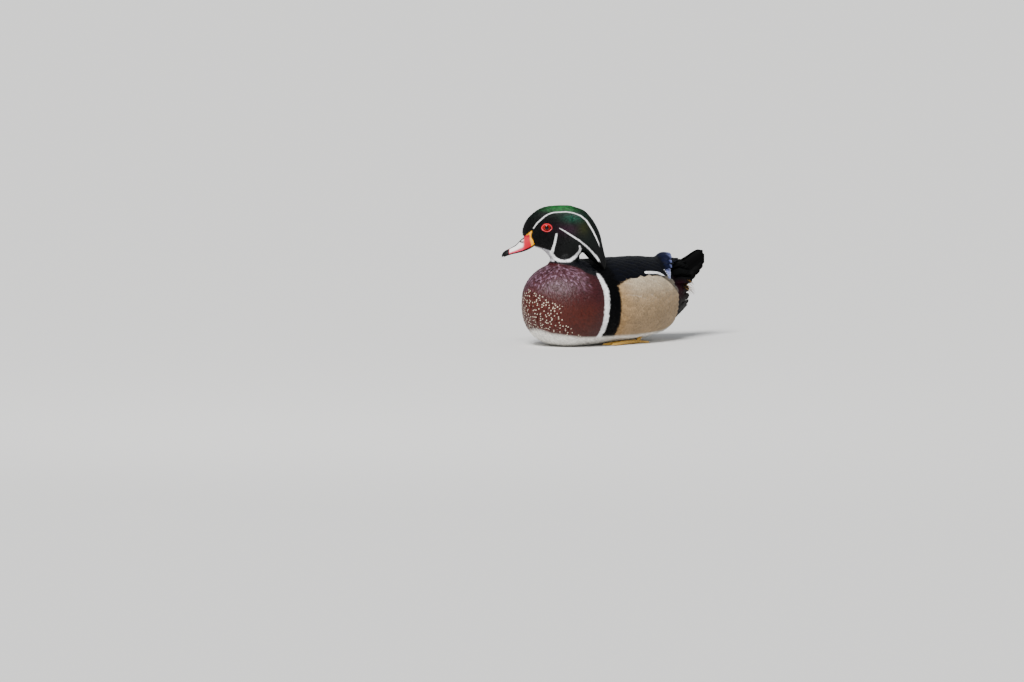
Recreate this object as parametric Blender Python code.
"""A male wood duck in breeding plumage, life size, as it sits on calm water.

The bird faces -Y, its left side is +X and +Z is up. The floor is z = 0 and the
belly rests on it. Sizes below are in millimetres and become metres in the meshes.
"ahead" is the distance in front of the origin, "left" is towards the bird's left.
"""
import math

import bmesh
import bpy
import numpy as np

MM = 0.001
SEAM = 0.3            # gap that neighbouring pieces keep
rng = np.random.default_rng(7)

# Trunk
TRUNK_AROUND = 28     # points in each ring
TRUNK_STEPS = 2       # rings in each interval between stations
# ahead, half width, top, bottom, height of the widest place, fullness above it
TRUNK = np.array([
    [98.5, 0.0, 57.0, 57.0, 57.0, 2.2],
    [97.2, 10.0, 69.0, 45.0, 56.0, 2.2],
    [93.5, 19.0, 78.5, 34.0, 54.0, 2.2],
    [87.5, 29.0, 85.5, 22.5, 52.0, 2.2],
    [77.5, 41.0, 93.5, 11.0, 50.0, 2.2],
    [64.0, 50.5, 101.0, 3.0, 48.0, 2.2],
    [48.0, 57.0, 106.5, -1.5, 46.0, 2.1],
    [32.0, 60.0, 109.0, -2.0, 46.0, 2.0],
    [12.0, 60.0, 108.5, -2.0, 46.0, 1.8],
    [-12.0, 58.0, 106.5, -2.0, 46.0, 1.75],
    [-40.0, 56.0, 104.0, -1.0, 46.0, 1.8],
    [-68.0, 50.5, 102.5, 1.0, 47.0, 1.85],
    [-93.0, 41.5, 99.5, 7.0, 50.0, 1.85],
    [-115.0, 32.0, 94.0, 17.5, 53.0, 1.9],
    [-133.0, 22.5, 87.0, 29.0, 56.0, 1.9],
    [-147.0, 13.0, 78.0, 42.0, 58.0, 2.0],
    [-153.5, 0.0, 60.0, 60.0, 60.0, 2.0],
])
BELLY_FULLNESS = 2.25
BREAST_END = 12.0     # the breast piece ends behind the white shoulder bar
TAIL_SEAM_TOP = (-117.0, 97.0)      # where the tail leaves the torso, in side view
TAIL_SEAM_LOW = (-141.0, 48.0)

# Head and neck, in a frame with its origin on the neck's axis at eye height
NECK_AHEAD = 40.0
EYE_HEIGHT = 150.0
HEAD_TURN = 38.0      # degrees to the bird's right
EYE_FORWARD = 23.0    # from the neck's axis
NECK_CUT = 109.0      # height of the joint between neck and head
NECK_LENGTHS = [93.0, 98.0, 102.5, 106.0, NECK_CUT]
NECK_RADII = [25.0, 24.0, 22.2, 20.2, 18.8]
NECK_NARROW = 0.9     # side to side against front to back
HEAD_AROUND = 24
# forward of the eye, half width, top, bottom, widest height, all from the eye
SKULL = np.array([
    [31.6, 0.0, -6.0, -6.0, -6.0],
    [30.6, 3.6, 0.0, -11.5, -6.5],
    [27.8, 6.4, 6.2, -17.0, -8.0],
    [23.5, 9.4, 12.4, -22.0, -9.5],
    [16.5, 12.2, 18.8, -25.4, -10.5],
    [8.0, 14.4, 24.0, -28.0, -12.0],
    [0.0, 15.8, 26.4, -33.5, -13.0],
    [-9.0, 16.8, 27.4, -44.0, -15.0],
    [-21.0, 17.4, 27.8, -50.0, -16.0],
    [-32.0, 17.0, 26.8, -46.0, -14.0],
    [-42.0, 14.4, 21.6, -35.0, -9.0],
    [-51.0, 10.4, 11.5, -27.0, -6.0],
    [-57.0, 5.8, 2.0, -18.0, -7.0],
    [-59.0, 0.0, -7.0, -7.0, -7.0],
])
SKULL_FULLNESS = 2.15
CREST_SEAM_TOP = (-30.0, 28.0)      # where the crest leaves the head, in profile
CREST_SEAM_LOW = (-43.0, -42.0)
# Crest: the back outline and the inner edge of the hanging feathers, in profile
CREST_OUTER = np.array([
    [-31.0, 26.9], [-46.0, 22.2], [-55.5, 12.6], [-63.0, 0.2], [-67.2, -9.5],
    [-69.8, -21.0], [-72.6, -33.5], [-75.0, -44.0], [-73.5, -53.5],
])
CREST_INNER = np.array([
    [-35.0, -14.0], [-39.5, -24.0], [-44.0, -31.0], [-48.5, -36.5], [-53.5, -40.5],
    [-58.5, -44.0], [-63.0, -47.5], [-67.5, -51.0], [-71.5, -54.5],
])
CREST_HALF_WIDTH = [17.0, 15.6, 13.8, 12.0, 10.2, 8.4, 6.6, 4.6, 2.6]
CREST_CORE_END = 0.62
CREST_CORE_INSET = (1.2, 1.6)       # depth of the core under the feathers: at the nape, and more by its end
CREST_CORE_ROUND = 0.04             # length of its rounded end, as a share of the crest
CREST_VANE_WIDTH = 7.0
CREST_CLOSING = np.array([1.0, 1.0, 0.96, 0.92])   # each feather's turn, closing towards its tip
CREST_SINK = np.array([2.6, 0.3, -0.4, 0.2])       # depth under the crest's outline
# where each tier starts and ends along the crest, and its turns from the back's middle line
CREST_TIERS = [
    (0.06, 0.44, (0, 27, -27, 54, -54, 82, -82)),
    (0.24, 0.66, (16, -16, 52, -52, 92, -92)),
    (0.44, 0.86, (0, 40, -40, 85, -85, 128, -128)),
    (0.62, 1.0, (0, 75, -75, 142, -142)),
]

# Bill, in profile from the eye: forward, culmen, edge of the mouth, half width
BILL = np.array([
    [17.5, -2.8, -23.6, 11.4],
    [24.0, -8.4, -27.2, 10.6],
    [30.0, -13.9, -29.6, 9.6],
    [34.0, -17.3, -30.8, 8.9],
    [38.5, -22.2, -32.0, 8.4],
    [43.5, -25.4, -33.1, 8.2],
    [48.5, -28.0, -34.7, 7.9],
    [52.5, -30.0, -36.3, 7.0],
    [55.5, -32.6, -37.6, 5.2],
    [57.0, -35.6, -38.6, 2.6],
])
BILL_FULLNESS = 2.3
LOWER_BILL_DEPTH = 1.5
LOWER_BILL_SHARES = (1.15, 0.75)    # of that depth, at the gape and at the tip
LOWER_BILL_END = 54.0
LOWER_BILL_WIDTH = 0.86             # against the upper half
NOSTRIL = (31.4, 8.6, -19.0)
NOSTRIL_SIZE = (2.6, 2.0, 0.9)
EYE_RADIUS = 5.4
EYE_SIDE = 10.9       # centre of the eyeball from the head's middle
LID_HALF = (6.9, 5.1)
LID_THICK = 1.15
LID_SIDE = 15.2
LID_RIM = 2.6         # width of the ring
LID_EDGE = 0.45       # its outer edge is thinner by this share
LID_POINT = (0.10, 0.12)            # shares by which the front corner is longer and lower
LID_LEAN = 0.10       # the ring follows the face, which narrows towards the bill

# Side feathers and wings
SHELL_INNER = 0.5     # above the trunk
WING_LOW_DEGREES = 80.0
FLANK_LOW_DEGREES = 145.0
FLANK_TOP = [(0.0, 71.0), (-9.0, 77.0), (-22.0, 82.0), (-44.0, 86.0), (-66.0, 86.4),
             (-85.0, 83.3), (-96.5, 76.5), (-110.0, 63.0), (-120.0, 54.0)]
FLANK_LOW = 17.0
WING_FRONT = -6.0
FLANK_FRONT = -5.0
FLANK_FRONT_TOP = 73.5
FLANK_REAR = -112.0
OUTLINE_STEPS = 3     # points per interval of the flank's upper edge
ABOVE_BACK = 130.0    # higher than any wing feather
OUTSIDE = 90.0        # wider than the trunk with its feathers
MIDLINE_GAP = 0.25    # half the gap between the wings along the back
FLANK_INSIDE = 8.0    # the flanks stop short of the belly's middle line
WING_SHELL = (10.0, -125.0)         # the shells start and end beyond their outlines
FLANK_SHELL = (12.0, -130.0)
# rear edges in side view: of the wing's shell, of its feathers, and of the flank
WING_REAR_EDGE = [(-97.5, 77.5), (-104.0, 86.0), (-113.0, 94.0), (-118.0, ABOVE_BACK)]
WING_REACH = [(-97.5, 77.0), (-150.0, 77.0), (-150.0, ABOVE_BACK)]
FLANK_REAR_EDGE = [(FLANK_REAR, 60.0), (FLANK_REAR, 26.0), (-90.0, FLANK_LOW)]
WING_FALL = 2.0       # degrees by which a feather's tip lies lower than its root
FLANK_FALL = 3.0

# Feather tiers on a wing: start, length, width and places round the trunk in degrees
WING_TIERS = [
    (-9.0, 31.0, 13.0, (9.0, 25.0, 40.0)),
    (-29.0, 34.0, 13.0, (17.0, 32.0)),
    (-49.0, 35.0, 12.5, (9.0, 25.0)),
]
# long inner feathers, whose ends stand up over the tail: start, end, degrees, width
TERTIALS = [(-64.0, -119.5, 8.0, 12.5), (-66.0, -113.5, 19.0, 12.0), (-66.0, -110.5, 30.0, 11.0)]
TERTIAL_HEIGHTS = {1: (11.5, 10.0, 4.5), -1: (4.0, 3.5, 2.0)}    # left ones are ruffled, right ones lie
TERTIAL_PLACES = np.array([0.0, 0.72, 0.81, 1.0])
TERTIAL_WIDTHS = np.array([0.6, 1.0, 0.95, 0.6])
TERTIAL_RISE = np.array([0.0, 0.05, 0.7, 1.0])
# outer feathers that end in the pale panel: start, end, degrees at both ends, width
SECONDARIES = [(-70.0, -109.0, 33.0, 40.0, 9.5), (-68.0, -103.5, 37.0, 49.0, 9.5),
               (-66.0, -97.5, 41.0, 57.0, 9.0)]
# long flight feathers: first root, step from root to root, facing and tips, as ahead, left, up
PRIMARY_WIDTH = 6.5
PRIMARY_ROOT = (-96.0, 13.0, 99.0)
PRIMARY_STEP = (0.0, 3.0, -1.2)
PRIMARY_FACING = (0.0, 0.45, 0.9)
PRIMARY_TIPS = [(-136.0, 9.0, 101.5), (-129.0, 13.5, 100.0), (-122.0, 18.0, 97.5)]
FLANK_TIERS = [
    (-9.0, 36.0, 17.0, (70.0, 92.0)),
    (-34.0, 37.0, 17.0, (60.0, 81.0, 102.0)),
    (-59.0, 37.0, 16.0, (54.0, 74.0, 94.0)),
    (-82.0, 29.0, 13.0, (66.0, 83.0, 100.0)),
]
# stations along a feather: share of its length, of its width, thickness and rise over the shell
VANE_PLACES = np.array([0.0, 0.4, 0.8, 1.0])
VANE_WIDTHS = np.array([0.6, 1.0, 0.88, 0.34])
VANE_THICK = np.array([1.1, 0.85, 0.7, 0.45])
VANE_RISE = np.array([-1.3, 0.65, 1.25, 1.2])
VANE_CLEARANCE = 0.2  # between a feather's root and the shell's inner face
LONG_PLACES = np.array([0.0, 0.25, 0.55, 0.85, 1.0])
LONG_WIDTHS = np.array([0.4, 0.85, 1.0, 0.97, 0.5])
LONG_THICK = np.array([1.2, 0.95, 0.8, 0.7, 0.5])

# Tail: places as ahead, left, up. A tip lies at first + second s + third s squared, where s runs
# from 0 at the top pair to 1 at the lowest
TAIL_PAIRS = 7
TAIL_ROOTS = np.array([[-124.0, 2.0, 86.0], [0.0, 8.4, -15.6], [0.0, 0.0, 0.0]])
TAIL_TIPS = np.array([[-180.0, 4.0, 110.0], [-13.0, 13.8, -24.0], [45.0, 0.0, -6.0]])
TAIL_SLOPE = (0.12, 0.78, 0.61)     # the way the left slope of the roof-like tail faces
TAIL_STACK = 0.55                   # depth of each feather under the one above
TAIL_SIDE_SHIFT = 0.15              # keeps the two sides' feathers from sharing a face
TAIL_VANE_WIDTH = 12.5
TAIL_SAG = 2.2
UPPER_COVERTS = 3
UPPER_COVERT_ROOT = np.array([[-123.0, 2.5, 86.0], [0.0, 3.6, -4.0]])    # first, and step
UPPER_COVERT_TIP = np.array([[-146.0, 5.0, 95.5], [3.0, 3.4, -6.5]])
UPPER_COVERT_LIFT = (2.6, 0.3)
UPPER_COVERT_WIDTH = 9.0
UNDER_COVERT_TURNS = (75.0, 108.0, 140.0, 170.0)
UNDER_COVERT_PLACES = (-136.0, -144.0, -151.0)     # ahead, at root, middle and tip
UNDER_COVERT_LIFTS = (-3.0, 1.6)
UNDER_COVERT_GATHER = (0.6, 0.85)   # the tips draw in towards the tail's axis: left, and up
UNDER_COVERT_AXIS = 60.0
UNDER_COVERT_WIDTH = 9.5

# Feet: places as ahead, left, up
FOOT_HEEL = (-50.0, 35.0, 3.2)
FOOT_ANKLE = (-64.0, 31.0, 15.0)
FOOT_SHANK_MIDDLE = (-57.0, 34.0, 8.5)
TOE_TIPS = [(-6.0, 29.0), (7.0, 37.5), (0.0, 47.0)]
TOE_HEIGHTS = (2.6, 1.9, 1.0)       # at the heel, the middle and the claw
TOE_RADII = (2.6, 2.1, 1.8, 0.5)
HIND_TOE = [(2.0, 0.0, -0.6), (-6.0, 5.0, -1.2), (-13.0, 8.0, -2.0)]     # from the heel
HIND_TOE_RADII = (1.9, 1.5, 0.6)
SHANK_RADII = (2.4, 2.7, 2.5, 3.0)
WEB_THICK = 1.4
WEB_UNDER = -0.4
WEB_REACH = 0.93                    # along a toe, from its heel to its tip
WEB_HOLLOW = 0.88                   # along the middle between two toes
WEB_HEEL = 2.4                      # half width at the heel

COLOURS = {
    "breast": (0.135, 0.022, 0.014), "torso": (0.012, 0.012, 0.014),
    "tail": (0.010, 0.010, 0.012), "neck": (0.10, 0.02, 0.015),
    "head": (0.006, 0.018, 0.012), "crest": (0.010, 0.030, 0.018),
    "bill_upper": (0.62, 0.12, 0.12), "bill_lower": (0.012, 0.012, 0.012),
    "eye": (0.32, 0.010, 0.012), "eyelid": (0.56, 0.05, 0.06),
    "wing": (0.012, 0.018, 0.040), "flank": (0.42, 0.31, 0.17), "foot": (0.40, 0.26, 0.06),
}


# Curves and frames

def through(rows, steps):
    """Rows of numbers followed by a smooth curve with the given steps per interval.

    Each interval is a cubic whose end slopes are half the step across its neighbours.
    """
    rows = np.asarray(rows, dtype=float)
    slope = np.gradient(rows, axis=0)
    part = np.arange(0, (len(rows) - 1) * steps + 1) / steps
    low = np.minimum(part.astype(int), len(rows) - 2)
    t = (part - low)[:, None]
    start = (2 * t**3 - 3 * t**2 + 1) * rows[low] + (t**3 - 2 * t**2 + t) * slope[low]
    end = (3 * t**2 - 2 * t**3) * rows[low + 1] + (t**3 - t**2) * slope[low + 1]
    return start + end


def along(rows, places):
    """The curve of through() read at places from 0 to 1."""
    fine = through(rows, 12)
    at = np.clip(np.asarray(places, dtype=float), 0, 1) * (len(fine) - 1)
    return np.stack([np.interp(at, np.arange(len(fine)), column) for column in fine.T], axis=-1)


def world(ahead, left, up):
    """Body sizes in millimetres as a point in metres."""
    return np.stack(np.broadcast_arrays(left, -np.asarray(ahead, dtype=float), up), axis=-1) * MM


def unit(vectors):
    return vectors / np.maximum(np.linalg.norm(vectors, axis=-1, keepdims=True), 1e-9)


def oval(angle, fullness):
    """Side and height of a superellipse of half sizes 1, from its top towards the left."""
    side = np.sign(np.sin(angle)) * np.abs(np.sin(angle)) ** (2 / fullness)
    height = np.sign(np.cos(angle)) * np.abs(np.cos(angle)) ** (2 / fullness)
    return side, height


# Meshes and objects

def material_for(kind):
    found = bpy.data.materials.get(kind)
    if found:
        return found
    made = bpy.data.materials.new(kind)
    made.use_nodes = True
    shader = made.node_tree.nodes["Principled BSDF"]
    shader.inputs["Base Color"].default_value = (*COLOURS[kind], 1.0)
    glossy = kind in ("eye", "eyelid", "bill_upper", "bill_lower")
    shader.inputs["Roughness"].default_value = 0.25 if glossy else 0.6
    return made


def solid(name, points, faces, kind, parent=None):
    """An object of one closed mesh, its faces split into triangles and turned outwards."""
    mesh = bpy.data.meshes.new(name)
    mesh.from_pydata([tuple(p) for p in np.asarray(points)], [], faces)
    shape = bmesh.new()
    shape.from_mesh(mesh)
    bmesh.ops.triangulate(shape, faces=shape.faces[:])
    bmesh.ops.recalc_face_normals(shape, faces=shape.faces[:])
    shape.to_mesh(mesh)
    shape.free()
    mesh.materials.append(material_for(kind))
    made = bpy.data.objects.new(name, mesh)
    bpy.context.scene.collection.objects.link(made)
    made.parent = parent
    return made


def tube_faces(rings, around):
    """Triangles between closed rings, alike on every ring."""
    faces = []
    for i in range(rings - 1):
        for j in range(around):
            k = (j + 1) % around
            a, b = i * around + j, i * around + k
            c, d = a + around, b + around
            faces += [(a, b, d), (a, d, c)]
    return faces


def loft(name, rings, kind, parent=None):
    """A closed body through rings of points; a ring of no size becomes a pole."""
    around = rings.shape[1]
    inner = rings
    poles = [np.ptp(rings[end], axis=0).max() < 1e-9 for end in (0, -1)]
    if poles[0]:
        inner = inner[1:]
    if poles[1]:
        inner = inner[:-1]
    points = inner.reshape(-1, 3)
    faces = tube_faces(len(inner), around)
    last = (len(inner) - 1) * around
    ends = [rings[0].mean(axis=0), rings[-1].mean(axis=0)]
    points = np.vstack([points, ends])
    head, foot = len(points) - 2, len(points) - 1
    for j in range(around):
        k = (j + 1) % around
        faces += [(head, k, j), (foot, last + j, last + k)]
    return solid(name, points, faces, kind, parent)


def vane_parts(centre, normal, width, thick):
    """Points and triangles of a flat vane: a strip with a flat oblong section at each station."""
    tangent = unit(np.gradient(centre, axis=0))
    side = unit(np.cross(tangent, normal))
    out = unit(np.cross(side, tangent))
    w = np.asarray(width)[:, None] / 2
    t = np.asarray(thick)[:, None] / 2
    corners = np.stack([centre + side * w + out * t, centre - side * w + out * t,
                        centre - side * w - out * t, centre + side * w - out * t], axis=1)
    count = len(centre)
    faces = [(0, 3, 2), (0, 2, 1)]
    for i in range(count - 1):
        a = 4 * i
        b = a + 4
        faces += [(a, a + 1, b + 1), (a, b + 1, b), (a + 3, b + 2, a + 2), (a + 3, b + 3, b + 2)]
        faces += [(a + 1, a + 2, b + 2), (a + 1, b + 2, b + 1), (a, b, b + 3), (a, b + 3, a + 3)]
    z = 4 * (count - 1)
    faces += [(z, z + 1, z + 2), (z, z + 2, z + 3)]
    return corners.reshape(-1, 3), faces


def apply(target):
    """Make the modifiers' result the object's own mesh."""
    bpy.context.view_layer.update()
    graph = bpy.context.evaluated_depsgraph_get()
    mesh = bpy.data.meshes.new_from_object(target.evaluated_get(graph), depsgraph=graph)
    target.modifiers.clear()
    old = target.data
    target.data = mesh
    bpy.data.meshes.remove(old)


def discard(things):
    for thing in things:
        bpy.data.objects.remove(thing)


def fuse(target, pieces):
    """Join the pieces to the target in one union."""
    if not pieces:
        return target
    group = bpy.data.collections.new(target.name + "_pieces")
    bpy.context.scene.collection.children.link(group)
    for piece in pieces:
        group.objects.link(piece)
        bpy.context.scene.collection.objects.unlink(piece)
    join = target.modifiers.new("join", "BOOLEAN")
    join.operation = "UNION"
    join.operand_type = "COLLECTION"
    join.collection = group
    apply(target)
    discard(pieces)
    bpy.data.collections.remove(group)
    keep_largest(target)
    return target


def trim(target, cutter, operation="DIFFERENCE", keep=False):
    """Cut the target by the cutter, which is then removed unless it is kept."""
    cut = target.modifiers.new("cut", "BOOLEAN")
    cut.operation = operation
    cut.object = cutter
    apply(target)
    if not keep:
        discard([cutter])
    keep_largest(target)
    return target


def keep_largest(target):
    """Leave only the closed surface that encloses the most."""
    shape = bmesh.new()
    shape.from_mesh(target.data)
    left = set(shape.faces)
    shells = []
    while left:
        front = [left.pop()]
        shell = list(front)
        while front:
            face = front.pop()
            for edge in face.edges:
                for other in edge.link_faces:
                    if other in left:
                        left.discard(other)
                        front.append(other)
                        shell.append(other)
        volume = sum(f.calc_center_median().dot(f.normal) * f.calc_area() for f in shell) / 3
        shells.append((volume, shell))
    shells.sort(key=lambda entry: entry[0])
    for _, shell in shells[:-1]:
        bmesh.ops.delete(shape, geom=shell, context="FACES")
    bmesh.ops.delete(shape, geom=[v for v in shape.verts if not v.link_faces], context="VERTS")
    bmesh.ops.triangulate(shape, faces=shape.faces[:])
    bmesh.ops.dissolve_degenerate(shape, dist=1e-6, edges=shape.edges[:])
    bmesh.ops.triangulate(shape, faces=shape.faces[:])
    shape.to_mesh(target.data)
    shape.free()


def copy_of(source, name, grow=0.0):
    """A copy of the object, each point moved out along its normal by grow millimetres."""
    made = source.copy()
    made.data = source.data.copy()
    made.name = name
    bpy.context.scene.collection.objects.link(made)
    shape = bmesh.new()
    shape.from_mesh(made.data)
    shape.normal_update()
    moved = [v.co + v.normal * grow * MM * v.calc_shell_factor() for v in shape.verts]
    for vert, place in zip(shape.verts, moved):
        vert.co = place
    shape.to_mesh(made.data)
    shape.free()
    return made


def slice_off(target, point, normal):
    """Remove what lies beyond a plane given in the object's own frame, and close the cut."""
    shape = bmesh.new()
    shape.from_mesh(target.data)
    geom = shape.verts[:] + shape.edges[:] + shape.faces[:]
    result = bmesh.ops.bisect_plane(shape, geom=geom, dist=1e-7, plane_co=point,
                                    plane_no=normal, clear_outer=True)
    rim = [e for e in result["geom_cut"] if isinstance(e, bmesh.types.BMEdge)]
    bmesh.ops.holes_fill(shape, edges=rim, sides=0)
    bmesh.ops.triangulate(shape, faces=shape.faces[:])
    bmesh.ops.recalc_face_normals(shape, faces=shape.faces[:])
    shape.to_mesh(target.data)
    shape.free()
    keep_largest(target)
    return target


def prism(name, outline, low, high, kind="torso"):
    """A block whose side view is the outline of (ahead, up) points, from low to high leftwards."""
    outline = np.asarray(outline, dtype=float)
    count = len(outline)
    points = np.vstack([world(outline[:, 0], low, outline[:, 1]),
                        world(outline[:, 0], high, outline[:, 1])])
    faces = [tuple(range(count)), tuple(range(2 * count - 1, count - 1, -1))]
    for i in range(count):
        j = (i + 1) % count
        faces.append((i, j, count + j, count + i))
    return solid(name, points, faces, kind)


# Trunk

trunk_rows = through(TRUNK, TRUNK_STEPS)
trunk_fine = through(TRUNK, 12)
around_angles = np.linspace(0, 2 * math.pi, TRUNK_AROUND, endpoint=False)


def section(rows, angle):
    """Left and up of the trunk's skin at stations (rows) and angles from the top to the left."""
    angle = np.asarray(angle, dtype=float)
    upper = np.cos(angle) >= 0
    full = np.where(upper, rows[..., 5], BELLY_FULLNESS)
    side, height = oval(angle, full)
    reach = np.where(upper, rows[..., 2] - rows[..., 4], rows[..., 4] - rows[..., 3])
    return rows[..., 1] * side, rows[..., 4] + reach * height


def trunk_at(ahead, degrees, lift=0.0):
    """A point on the trunk, in millimetres (ahead, left, up), raised along the skin's normal."""
    ahead = np.asarray(ahead, dtype=float)
    angle = np.radians(np.asarray(degrees, dtype=float))

    def skin(a, g):
        rows = np.stack([np.interp(-a, -trunk_fine[:, 0], column)
                         for column in trunk_fine.T], axis=-1)
        left, up = section(rows, g)
        return np.stack(np.broadcast_arrays(a, left, up), axis=-1)

    here = skin(ahead, angle)
    length = skin(ahead - 1.0, angle) - skin(ahead + 1.0, angle)
    girth = skin(ahead, angle + 0.03) - skin(ahead, angle - 0.03)
    normal = unit(np.cross(girth, length))
    return here + normal * np.asarray(lift, dtype=float)[..., None], normal


def make_trunk():
    rings = []
    for row in trunk_rows:
        left, up = section(row, around_angles)
        rings.append(world(row[0], left, up))
    rings[0][:] = rings[0].mean(axis=0)
    rings[-1][:] = rings[-1].mean(axis=0)
    return loft("trunk", np.array(rings), "torso")


def vane(name, centre, normal, widths, side, kind):
    """A feather through its stations, given on the left side, or mirrored with side -1."""
    mirror = np.array([1, side, 1])
    points, faces = vane_parts(centre * mirror, normal * mirror, widths, VANE_THICK)
    return solid(name, world(*points.T), faces, kind)


def laid_vane(ahead, turn, widths, rise, low_degrees, side, kind):
    """A feather laid on a shell through stations ahead and their turns round the trunk."""
    lift = outer_lift(ahead, turn / low_degrees) + VANE_RISE + rise
    lift = np.maximum(lift, SHELL_INNER + VANE_THICK / 2 + VANE_CLEARANCE)
    centre, normal = trunk_at(ahead, turn, lift)
    return vane(kind + "_vane", centre, normal, widths, side, kind)


def covert(start, end, first, last, width, low_degrees, side, kind):
    """A plain feather from start to end, whose turn goes from the first to the last."""
    ahead = start + (end - start) * VANE_PLACES
    turn = first + (last - first) * VANE_PLACES**1.5
    return laid_vane(ahead, turn, width * VANE_WIDTHS, 0.0, low_degrees, side, kind)


def tertial(start, end, degrees, width, height, side):
    """A long inner wing feather that runs level, steps up near its end and stays up."""
    ahead = start + (end - start) * TERTIAL_PLACES
    turn = np.full(len(ahead), degrees)
    widths, rise = width * TERTIAL_WIDTHS, height * TERTIAL_RISE
    return laid_vane(ahead, turn, widths, rise, WING_LOW_DEGREES, side, "wing")


def laid_tiers(tiers, low_degrees, side, kind, fall):
    """Rows of feathers, each a little different from the next."""
    made = []
    for start, length, width, places in tiers:
        for place in places:
            at = start + rng.uniform(-1.0, 1.0)
            long = length * rng.uniform(0.95, 1.04)
            turn = place + rng.uniform(-0.8, 0.8)
            made.append(covert(at, at - long, turn, turn + fall, width, low_degrees, side, kind))
    return made


# Wings and flanks: shells over the trunk, parted in side view along the flank's upper edge

def outer_lift(ahead, share):
    """Height of a shell's outer face over the trunk; share runs from its upper to its lower edge."""
    rise = np.interp(-ahead, [-3, 6, 25, 60, 100], [0.9, 1.5, 3.0, 4.8, 6.5])
    return rise * (1 - 0.45 * share**2)


def shell(name, kind, first, last, low_degrees, side):
    """A closed shell on the trunk's own rings, from its middle down to low_degrees."""
    rows = trunk_rows[(trunk_rows[:, 0] <= first) & (trunk_rows[:, 0] >= last)]
    angles = np.degrees(around_angles[around_angles <= math.radians(low_degrees)])
    grid_a, grid_g = np.meshgrid(rows[:, 0], angles, indexing="ij")
    share = grid_g / low_degrees
    inner, _ = trunk_at(grid_a, grid_g, np.full(grid_a.shape, SHELL_INNER))
    outer, _ = trunk_at(grid_a, grid_g, outer_lift(grid_a, share))
    if grid_g[0, 0] == 0:
        inner[:, 0, 1] = 0
        outer[:, 0, 1] = 0
    n, m = grid_a.shape
    points = np.vstack([inner.reshape(-1, 3), outer.reshape(-1, 3)]) * [1, side, 1]
    faces = []
    top = n * m
    for i in range(n - 1):
        for j in range(m - 1):
            a, b, c, d = i * m + j, i * m + j + 1, (i + 1) * m + j, (i + 1) * m + j + 1
            faces += [(a, b, d), (a, d, c), (top + a, top + d, top + b), (top + a, top + c, top + d)]
    for i in range(n - 1):
        for a, c in ((i * m, (i + 1) * m), (i * m + m - 1, (i + 1) * m + m - 1)):
            faces += [(a, c, top + c), (a, top + c, top + a)]
    for j in range(m - 1):
        for a, b in ((j, j + 1), ((n - 1) * m + j, (n - 1) * m + j + 1)):
            faces += [(a, b, top + b), (a, top + b, top + a)]
    return solid(name, world(points[:, 0], points[:, 1], points[:, 2]), faces, kind)


def make_primaries(side):
    """The long flight feathers, whose tips cross over the tail's root."""
    made = []
    normal = np.tile(unit(np.array(PRIMARY_FACING)), (len(VANE_PLACES), 1))
    for k, tip in enumerate(PRIMARY_TIPS):
        root = np.array(PRIMARY_ROOT) + np.array(PRIMARY_STEP) * k
        centre = root + (np.array(tip) - root) * VANE_PLACES[:, None]
        made.append(vane("primary", centre, normal, PRIMARY_WIDTH * VANE_WIDTHS, side, "wing"))
    return made


def make_wing(side, tag):
    wing = shell("wing_" + tag, "wing", WING_SHELL[0], WING_SHELL[1], WING_LOW_DEGREES, side)
    edge = through(FLANK_TOP, OUTLINE_STEPS)
    corner = float(np.interp(-WING_FRONT, -edge[:, 0], edge[:, 1])) + SEAM / 2
    lower = [(a, z + SEAM / 2) for a, z in edge if WING_REAR_EDGE[0][0] < a < WING_FRONT - 1]
    front = [(WING_FRONT, ABOVE_BACK), (WING_FRONT, corner)]
    room = [*front, *lower, *WING_REAR_EDGE]
    reach = [*front, *lower, *WING_REACH]
    vanes = laid_tiers(WING_TIERS, WING_LOW_DEGREES, side, "wing", WING_FALL)
    vanes += [tertial(*row, height, side) for row, height in zip(TERTIALS, TERTIAL_HEIGHTS[side])]
    vanes += [covert(*row, WING_LOW_DEGREES, side, "wing") for row in SECONDARIES]
    vanes += make_primaries(side)
    middle, outside = MIDLINE_GAP * side, OUTSIDE * side
    trim(wing, prism("wing_room", room, middle, outside), "INTERSECT")
    fuse(wing, vanes)
    return trim(wing, prism("wing_reach", reach, middle, outside), "INTERSECT")


def make_flank(side, tag):
    flank = shell("flank_" + tag, "flank", FLANK_SHELL[0], FLANK_SHELL[1], FLANK_LOW_DEGREES, side)
    edge = through(FLANK_TOP, OUTLINE_STEPS)
    upper = [(a, z - SEAM / 2) for a, z in edge if FLANK_REAR < a < FLANK_FRONT]
    outline = [(FLANK_FRONT, FLANK_LOW), (FLANK_FRONT, FLANK_FRONT_TOP), *upper, *FLANK_REAR_EDGE]
    fuse(flank, laid_tiers(FLANK_TIERS, FLANK_LOW_DEGREES, side, "flank", FLANK_FALL))
    room = prism("flank_room", outline, FLANK_INSIDE * side, OUTSIDE * side)
    return trim(flank, room, "INTERSECT")


# Head

def head_point(forward, left, up):
    """A point of the head in millimetres from the eye's level, in metres in the head's frame."""
    return world(np.asarray(forward, dtype=float) + EYE_FORWARD, left, up)


def make_skull(parent):
    rows = through(SKULL, 2)
    angle = np.linspace(0, 2 * math.pi, HEAD_AROUND, endpoint=False)
    side, height = oval(angle, SKULL_FULLNESS)
    rings = []
    for forward, half, top, low, wide in rows:
        up = wide + np.where(height >= 0, (top - wide) * height, (wide - low) * height)
        rings.append(head_point(forward, half * side, up))
    return loft("head", np.array(rings), "head", parent)


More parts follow.
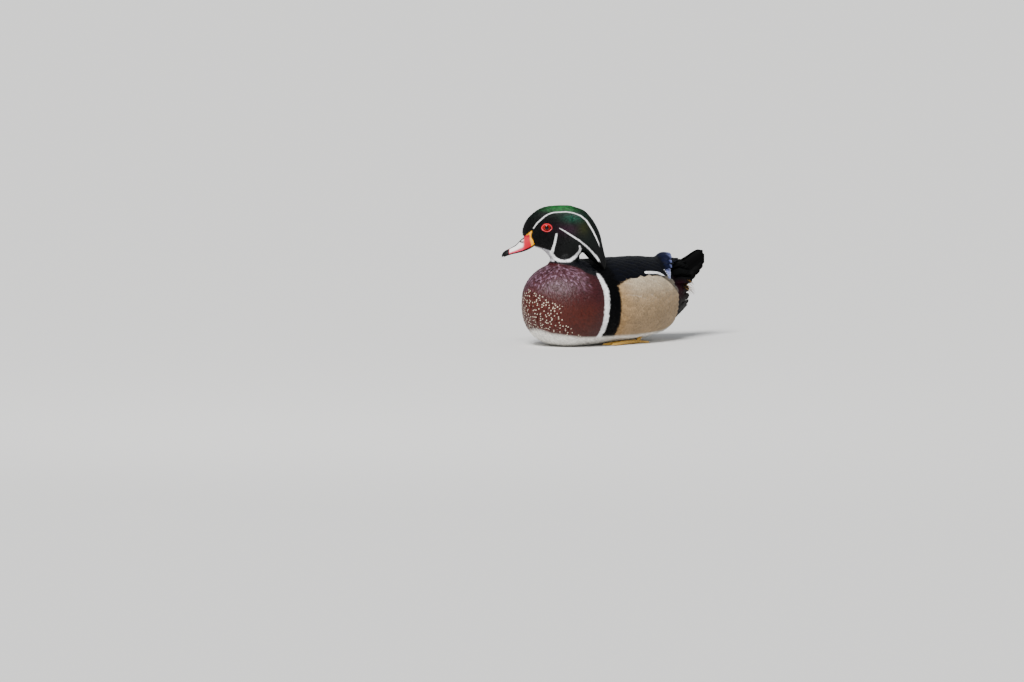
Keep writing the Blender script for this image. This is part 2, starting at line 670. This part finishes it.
def crest_frame(places):
    """Centre line, half depth, depth direction and half width of the hanging crest."""
    outer = along(CREST_OUTER, places)
    inner = along(CREST_INNER, places)
    half = along(np.array(CREST_HALF_WIDTH)[:, None], places)[..., 0]
    centre = (outer + inner) / 2
    depth = np.linalg.norm(outer - inner, axis=-1) / 2
    return centre, depth, unit(outer - inner), half


def crest_point(places, turn, inset=0.0):
    """A point of the crest's surface; turn runs from the back's middle line to the sides."""
    centre, depth, out, half = crest_frame(places)
    reach = (depth - inset) * np.cos(turn)
    left = (half - inset) * np.sin(turn)
    flat = centre + out * reach[..., None]
    return np.stack([flat[..., 0], left, flat[..., 1]], axis=-1)


def make_crest_core(parent):
    places = np.linspace(0.0, CREST_CORE_END, 8)
    turn = np.linspace(0, 2 * math.pi, 16, endpoint=False)
    rings = []
    for place in places:
        inset = CREST_CORE_INSET[0] + CREST_CORE_INSET[1] * place / CREST_CORE_END
        ring = crest_point(np.full(len(turn), place), turn, inset)
        rings.append(head_point(ring[:, 0], ring[:, 1], ring[:, 2]))
    end = crest_frame(np.array(CREST_CORE_END + CREST_CORE_ROUND))[0]
    rings.append(np.tile(head_point(end[0], 0.0, end[1]), (len(turn), 1)))
    return loft("crest_core", np.array(rings), "crest", parent)


def make_crest_vanes(parent):
    """Tiers of long feathers over the hanging crest, from the nape to its tip."""
    made = []
    for start, finish, turns in CREST_TIERS:
        for turn in turns:
            reach = finish - 0.05 * abs(turn) / 90 + rng.uniform(-0.015, 0.015)
            places = start + (reach - start) * VANE_PLACES
            centre = crest_point(places, np.radians(turn * CREST_CLOSING), CREST_SINK)
            middle, _, _, half = crest_frame(places)
            hub = np.stack([middle[:, 0], np.zeros(len(middle)), middle[:, 1]], axis=-1)
            width = np.minimum(CREST_VANE_WIDTH, half * 0.85 + 1.0) * VANE_WIDTHS
            points, faces = vane_parts(centre, unit(centre - hub), width, VANE_THICK)
            place = head_point(points[:, 0], points[:, 1], points[:, 2])
            made.append(solid("crest_vane", place, faces, "crest", parent))
    return made


def seam_plane(top, low, offset, point):
    """Point and backward normal of a cut seen from the side, moved back by offset."""
    top, low = np.array(top), np.array(low)
    run = unit(low - top)
    back = np.array([run[1], -run[0]])
    place = top + back * offset
    normal = world(back[0], 0.0, back[1])
    return point(place[0], 0.0, place[1]), normal / np.linalg.norm(normal)


def ball(name, centre, radii, kind, parent, around=16, rings=11):
    """An ellipsoid with its poles to the sides."""
    turn = np.linspace(0, 2 * math.pi, around, endpoint=False)
    rows = []
    for tilt in np.linspace(0, math.pi, rings):
        forward = centre[0] + radii[0] * math.sin(tilt) * np.cos(turn)
        up = centre[2] + radii[2] * math.sin(tilt) * np.sin(turn)
        left = centre[1] + radii[1] * math.cos(tilt)
        rows.append(head_point(forward, left, up))
    rows[0][:] = rows[0].mean(axis=0)
    rows[-1][:] = rows[-1].mean(axis=0)
    return loft(name, np.array(rows), kind, parent)


def make_lid(side, name, parent, grow=0.0):
    """A flat oval ring round the eye, pointed at its front corner."""
    turn = np.linspace(0, 2 * math.pi, 16, endpoint=False)
    half_forward = LID_HALF[0] * (1 + LID_POINT[0] * np.maximum(np.cos(turn), 0) ** 3)
    half_up = LID_HALF[1] * (1 - LID_POINT[1] * np.maximum(np.cos(turn), 0) ** 2)
    points = []
    for inset, thickness in ((0.0, LID_EDGE), (LID_RIM, 1.0), (LID_RIM, -1.0), (0.0, -1.0)):
        swell = -grow if inset else grow
        depth = LID_THICK * thickness + math.copysign(grow, thickness)
        forward = (half_forward - inset + swell) * np.cos(turn)
        up = (half_up - inset + swell) * np.sin(turn)
        points.append(head_point(forward, side * (LID_SIDE + depth - LID_LEAN * forward), up))
    count = len(turn)
    faces = []
    for level in range(4):
        below = (level + 1) % 4
        for j in range(count):
            k = (j + 1) % count
            faces.append((level * count + j, level * count + k, below * count + k, below * count + j))
    return solid(name, np.vstack(points), faces, "eyelid", parent)


def bill_rings(rows, top, low, narrow, arch_steps=5):
    """D-shaped rings: a flat underside along the mouth's edge and an arch over it."""
    arch = np.linspace(-math.pi / 2, math.pi / 2, 2 * arch_steps + 1)
    side, height = oval(arch, BILL_FULLNESS)
    rings = []
    for forward, crown, edge, half in zip(rows[:, 0], top, low, rows[:, 3] * narrow):
        left = half * side
        up = edge + (crown - edge) * np.abs(height)
        under = np.linspace(half, -half, 5)[1:-1]
        ring_left = np.concatenate([left, under])
        ring_up = np.concatenate([up, np.full(3, edge)])
        rings.append(head_point(forward, ring_left, ring_up))
    return np.array(rings)


def make_bill(parent):
    rows = through(BILL, 2)
    upper = loft("bill_upper", bill_rings(rows, rows[:, 1], rows[:, 2], 1.0), "bill_upper", parent)
    for side in (1, -1):
        place = (NOSTRIL[0], side * NOSTRIL[1], NOSTRIL[2])
        hole = ball("nostril", place, NOSTRIL_SIZE, "bill_upper", parent, 10, 6)
        trim(upper, hole)
    jaw = rows[rows[:, 0] < LOWER_BILL_END]
    crown = jaw[:, 2] - SEAM
    low = crown - LOWER_BILL_DEPTH * np.linspace(*LOWER_BILL_SHARES, len(jaw))
    lower = loft("bill_lower", bill_rings(jaw, low, crown, LOWER_BILL_WIDTH), "bill_lower", parent)
    return upper, lower


def make_head(frame):
    skull = make_skull(frame)
    point, normal = seam_plane(CREST_SEAM_TOP, CREST_SEAM_LOW, SEAM / 2, head_point)
    crest = copy_of(skull, "crest")
    crest.data.materials.clear()
    crest.data.materials.append(material_for("crest"))
    fuse(crest, [make_crest_core(frame), *make_crest_vanes(frame)])
    slice_off(crest, point, -normal)
    point, normal = seam_plane(CREST_SEAM_TOP, CREST_SEAM_LOW, -SEAM / 2, head_point)
    slice_off(skull, point, normal)
    floor = head_point(0.0, 0.0, NECK_CUT - EYE_HEIGHT + SEAM / 2)
    slice_off(skull, floor, (0, 0, -1))
    upper, lower = make_bill(frame)
    trim(skull, copy_of(upper, "bill_room", SEAM))
    trim(skull, copy_of(lower, "jaw_room", SEAM))
    for side, tag in ((1, "l"), (-1, "r")):
        place = (0.0, side * EYE_SIDE, 0.0)
        ball("eye_" + tag, place, (EYE_RADIUS,) * 3, "eye", frame)
        room = ball("eye_room", place, (EYE_RADIUS + SEAM,) * 3, "eye", frame)
        lid = make_lid(side, "eyelid_" + tag, frame)
        trim(lid, room, keep=True)
        trim(skull, make_lid(side, "lid_room", frame, SEAM))
        trim(skull, room)
    return crest


def make_neck():
    """A short neck that widens into the breast; its front is turned with the head."""
    turn = np.linspace(0, 2 * math.pi, 24, endpoint=False)
    rings = []
    for height, radius in zip(NECK_LENGTHS, NECK_RADII):
        top = height - SEAM / 2 if height == NECK_CUT else height
        twist = math.radians(HEAD_TURN) * (height - NECK_LENGTHS[0]) / (NECK_CUT - NECK_LENGTHS[0])
        fore = radius * np.cos(turn)
        wide = radius * NECK_NARROW * np.sin(turn)
        ahead = NECK_AHEAD + fore * math.cos(twist) + wide * math.sin(twist)
        left = -fore * math.sin(twist) + wide * math.cos(twist)
        rings.append(world(ahead, left, top))
    return loft("neck", np.array(rings), "neck")


# Tail and feet

def roof_vane(root, tip, inward, width, side):
    """A tail feather in one slope of the closed, roof-like tail."""
    outward = unit(np.array(TAIL_SLOPE))
    places = LONG_PLACES[:, None]
    centre = root + (tip - root) * places - outward * inward
    centre = centre - np.array([0.0, 0.0, TAIL_SAG]) * (4 * places * (1 - places))
    mirror = np.array([1, side, 1])
    normal = np.tile(outward * mirror, (len(centre), 1))
    points, faces = vane_parts(centre * mirror, normal, width * LONG_WIDTHS, LONG_THICK)
    return solid("tail_vane", world(*points.T), faces, "tail")


def make_under_covert(degrees, side):
    """A short feather under the tail's root, drawn in towards the tail."""
    root, _ = trunk_at(UNDER_COVERT_PLACES[0], degrees, UNDER_COVERT_LIFTS[0])
    middle, normal = trunk_at(UNDER_COVERT_PLACES[1], degrees, UNDER_COVERT_LIFTS[1])
    left = middle[1] * UNDER_COVERT_GATHER[0]
    up = UNDER_COVERT_AXIS + (middle[2] - UNDER_COVERT_AXIS) * UNDER_COVERT_GATHER[1]
    run = np.array([root, middle, [UNDER_COVERT_PLACES[2], left, up]])
    centre = along(run, VANE_PLACES)
    across = np.tile(normal, (len(centre), 1))
    return vane("under_covert", centre, across, UNDER_COVERT_WIDTH * VANE_WIDTHS, side, "tail")


def make_tail_vanes():
    """Each pair lies lower and further out than the last, with coverts over and under their roots."""
    made = []
    for side in (1, -1):
        for k in range(TAIL_PAIRS):
            share = k / (TAIL_PAIRS - 1)
            powers = np.array([1.0, share, share**2])
            inward = TAIL_STACK * k + TAIL_SIDE_SHIFT * (side < 0)
            made.append(roof_vane(powers @ TAIL_ROOTS, powers @ TAIL_TIPS, inward, TAIL_VANE_WIDTH, side))
        for k in range(UPPER_COVERTS):
            step = np.array([1.0, k])
            outward = UPPER_COVERT_LIFT[0] + UPPER_COVERT_LIFT[1] * k
            root, tip = step @ UPPER_COVERT_ROOT, step @ UPPER_COVERT_TIP
            made.append(roof_vane(root, tip, -outward, UPPER_COVERT_WIDTH, side))
        made += [make_under_covert(degrees, side) for degrees in UNDER_COVERT_TURNS]
    return made


def rod(name, path, radii, kind, around=6):
    """A closed tube along a path of millimetre points."""
    path = np.asarray(path, dtype=float)
    tangent = unit(np.gradient(path, axis=0))
    side = unit(np.cross(tangent, np.array([0.0, 0.0, 1.0])))
    up = np.cross(side, tangent)
    turn = np.linspace(0, 2 * math.pi, around, endpoint=False)
    rings = []
    for centre, s, u, radius in zip(path, side, up, radii):
        ring = centre + radius * (np.cos(turn)[:, None] * s + np.sin(turn)[:, None] * u)
        rings.append(world(*ring.T))
    return loft(name, np.array(rings), kind)


def make_web(heel, tips, side):
    """A flat web with a hollow edge between the toes."""
    rim = [heel[:2] + [2, -WEB_HEEL]]
    for first, second in ((tips[0], tips[1]), (tips[1], tips[2])):
        rim.append(first[:2] * WEB_REACH + heel[:2] * (1 - WEB_REACH))
        rim.append((first[:2] + second[:2]) / 2 * WEB_HOLLOW + heel[:2] * (1 - WEB_HOLLOW))
    rim += [tips[2][:2] * WEB_REACH + heel[:2] * (1 - WEB_REACH), heel[:2] + [2, WEB_HEEL]]
    rim = np.array(rim)
    low = world(rim[:, 0], rim[:, 1] * side, WEB_UNDER)
    high = world(rim[:, 0], rim[:, 1] * side, WEB_THICK)
    count = len(rim)
    faces = [tuple(range(count)), tuple(range(2 * count - 1, count - 1, -1))]
    faces += [(i, (i + 1) % count, count + (i + 1) % count, count + i) for i in range(count)]
    return solid("web", np.vstack([low, high]), faces, "foot")


def make_foot(side, tag):
    mirror = np.array([1, side, 1])
    heel = np.array(FOOT_HEEL)
    tips = [np.array([*tip, TOE_HEIGHTS[-1]]) for tip in TOE_TIPS]
    pieces = [make_web(heel, tips, side)]
    for tip in tips:
        places = np.linspace(0, 1, len(TOE_RADII))[:, None]
        path = heel + (tip - heel) * places
        path[:, 2] = np.interp(places[:, 0], np.linspace(0, 1, len(TOE_HEIGHTS)), TOE_HEIGHTS)
        pieces.append(rod("toe", path * mirror, TOE_RADII, "foot"))
    pieces.append(rod("hind_toe", (heel + np.array(HIND_TOE)) * mirror, HIND_TOE_RADII, "foot"))
    shank = np.array([heel + [3, 0, -0.4], heel, FOOT_SHANK_MIDDLE, FOOT_ANKLE])
    foot = rod("foot_" + tag, shank * mirror, SHANK_RADII, "foot")
    fuse(foot, pieces)
    slice_off(foot, (0, 0, 0), (0, 0, -1))
    return foot


def clear_scene():
    for thing in list(bpy.data.objects):
        bpy.data.objects.remove(thing)


def main():
    clear_scene()
    frame = bpy.data.objects.new("head_turn", None)
    bpy.context.scene.collection.objects.link(frame)
    frame.location = world(NECK_AHEAD, 0.0, EYE_HEIGHT)
    frame.rotation_euler = (0.0, 0.0, -math.radians(HEAD_TURN))

    trunk = make_trunk()
    slice_off(trunk, (0, 0, 0), (0, 0, -1))
    neck = make_neck()
    breast = copy_of(trunk, "breast")
    slice_off(breast, world(BREAST_END + SEAM / 2, 0, 0), (0, 1, 0))
    torso = copy_of(trunk, "torso")
    slice_off(torso, world(BREAST_END - SEAM / 2, 0, 0), (0, -1, 0))
    point, normal = seam_plane(TAIL_SEAM_TOP, TAIL_SEAM_LOW, -SEAM / 2, world)
    slice_off(torso, point, normal)
    tail = copy_of(trunk, "tail")
    fuse(tail, make_tail_vanes())
    point, normal = seam_plane(TAIL_SEAM_TOP, TAIL_SEAM_LOW, SEAM / 2, world)
    slice_off(tail, point, -normal)
    for piece, kind in ((breast, "breast"), (tail, "tail")):
        piece.data.materials.clear()
        piece.data.materials.append(material_for(kind))

    crest = make_head(frame)
    trim(breast, copy_of(neck, "neck_room", SEAM))
    trim(torso, copy_of(neck, "neck_room", SEAM))
    trim(crest, copy_of(trunk, "trunk_room", SEAM))
    for side, tag in ((1, "l"), (-1, "r")):
        make_wing(side, tag)
        make_flank(side, tag)
        trim(make_foot(side, tag), copy_of(trunk, "trunk_room", SEAM))
    discard([trunk])


main()
